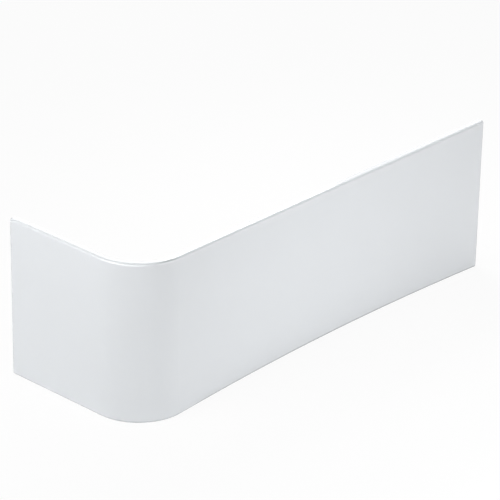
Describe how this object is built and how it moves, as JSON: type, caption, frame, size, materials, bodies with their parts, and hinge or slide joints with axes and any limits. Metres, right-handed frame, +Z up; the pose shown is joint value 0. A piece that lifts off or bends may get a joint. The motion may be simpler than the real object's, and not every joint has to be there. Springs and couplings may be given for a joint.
{
  "type": "bath panel",
  "caption": "One-piece acrylic panel for a corner bath: a short end panel, a rounded corner and a long front with a toe recess, on a plywood frame with levelling feet.",
  "frame": {"origin": "on the floor, at the middle of the box that holds the whole panel", "axes": "+Z up; the long front faces -Y and meets a wall at its +X end; the short end panel faces -X and meets a wall at its +Y end; the rounded corner joins them at -X -Y"},
  "size_m": [1.7, 0.585, 0.565],
  "materials": {
    "acrylic": "white cast acrylic sheet, formed, glossy",
    "laminate": "chopped glass strands in polyester resin, rolled on by hand",
    "plywood": "sawn plywood, bare",
    "zinc_steel": "steel, zinc-plated",
    "foot_plastic": "moulded polyamide, black"
  },
  "bodies": {
    "panel": {"acrylic_shell": "acrylic", "glassfibre_backing": "laminate", "bottom_board_front": "plywood", "bottom_board_end": "plywood", "bottom_corner_board": "plywood", "top_corner_board": "plywood", "top_rail_front": "plywood", "top_rail_end": "plywood", "rib_front_1": "plywood", "rib_front_2": "plywood", "rib_front_3": "plywood", "rib_end": "plywood", "wall_post_front": "plywood", "wall_post_end": "plywood", "floor_bracket_1": "zinc_steel", "floor_bracket_2": "zinc_steel", "floor_bracket_end": "zinc_steel", "wall_bracket_front": "zinc_steel", "wall_bracket_end": "zinc_steel", "weld_nut_plates": "zinc_steel"},
    "foot_front_wall": {"foot_pad_front_wall": "foot_plastic"},
    "stud_front_wall": {"foot_stud_front_wall": "zinc_steel"},
    "foot_front_middle": {"foot_pad_front_middle": "foot_plastic"},
    "stud_front_middle": {"foot_stud_front_middle": "zinc_steel"},
    "foot_bend": {"foot_pad_bend": "foot_plastic"},
    "stud_bend": {"foot_stud_bend": "zinc_steel"},
    "foot_end_wall": {"foot_pad_end_wall": "foot_plastic"},
    "stud_end_wall": {"foot_stud_end_wall": "zinc_steel"}
  },
  "joints": [
    {"name": "foot_front_wall_lift", "type": "slide", "parent": "panel", "child": "foot_front_wall", "axis": [0, 0, 1], "range_m": [-0.02, 0]},
    {"name": "foot_front_wall_turn", "type": "hinge", "parent": "foot_front_wall", "child": "stud_front_wall", "pos_m": [0.75, -0.2145, 0.01], "axis": [0, 0, 1], "range_deg": [-5760, 0]},
    {"name": "foot_front_middle_lift", "type": "slide", "parent": "panel", "child": "foot_front_middle", "axis": [0, 0, 1], "range_m": [-0.02, 0]},
    {"name": "foot_front_middle_turn", "type": "hinge", "parent": "foot_front_middle", "child": "stud_front_middle", "pos_m": [0.08535, -0.2145, 0.01], "axis": [0, 0, 1], "range_deg": [-5760, 0]},
    {"name": "foot_bend_lift", "type": "slide", "parent": "panel", "child": "foot_bend", "axis": [0, 0, 1], "range_m": [-0.02, 0]},
    {"name": "foot_bend_turn", "type": "hinge", "parent": "foot_bend", "child": "stud_bend", "pos_m": [-0.74359, -0.18609, 0.01], "axis": [0, 0, 1], "range_deg": [-5760, 0]},
    {"name": "foot_end_wall_lift", "type": "slide", "parent": "panel", "child": "foot_end_wall", "axis": [0, 0, 1], "range_m": [-0.02, 0]},
    {"name": "foot_end_wall_turn", "type": "hinge", "parent": "foot_end_wall", "child": "stud_end_wall", "pos_m": [-0.772, 0.1925, 0.01], "axis": [0, 0, 1], "range_deg": [-5760, 0]}
  ],
  "couplings": [
    {"joint": "foot_front_wall_lift", "follows": "foot_front_wall_turn", "m_per_rad": 0.00019894},
    {"joint": "foot_front_middle_lift", "follows": "foot_front_middle_turn", "m_per_rad": 0.00019894},
    {"joint": "foot_bend_lift", "follows": "foot_bend_turn", "m_per_rad": 0.00019894},
    {"joint": "foot_end_wall_lift", "follows": "foot_end_wall_turn", "m_per_rad": 0.00019894}
  ]
}
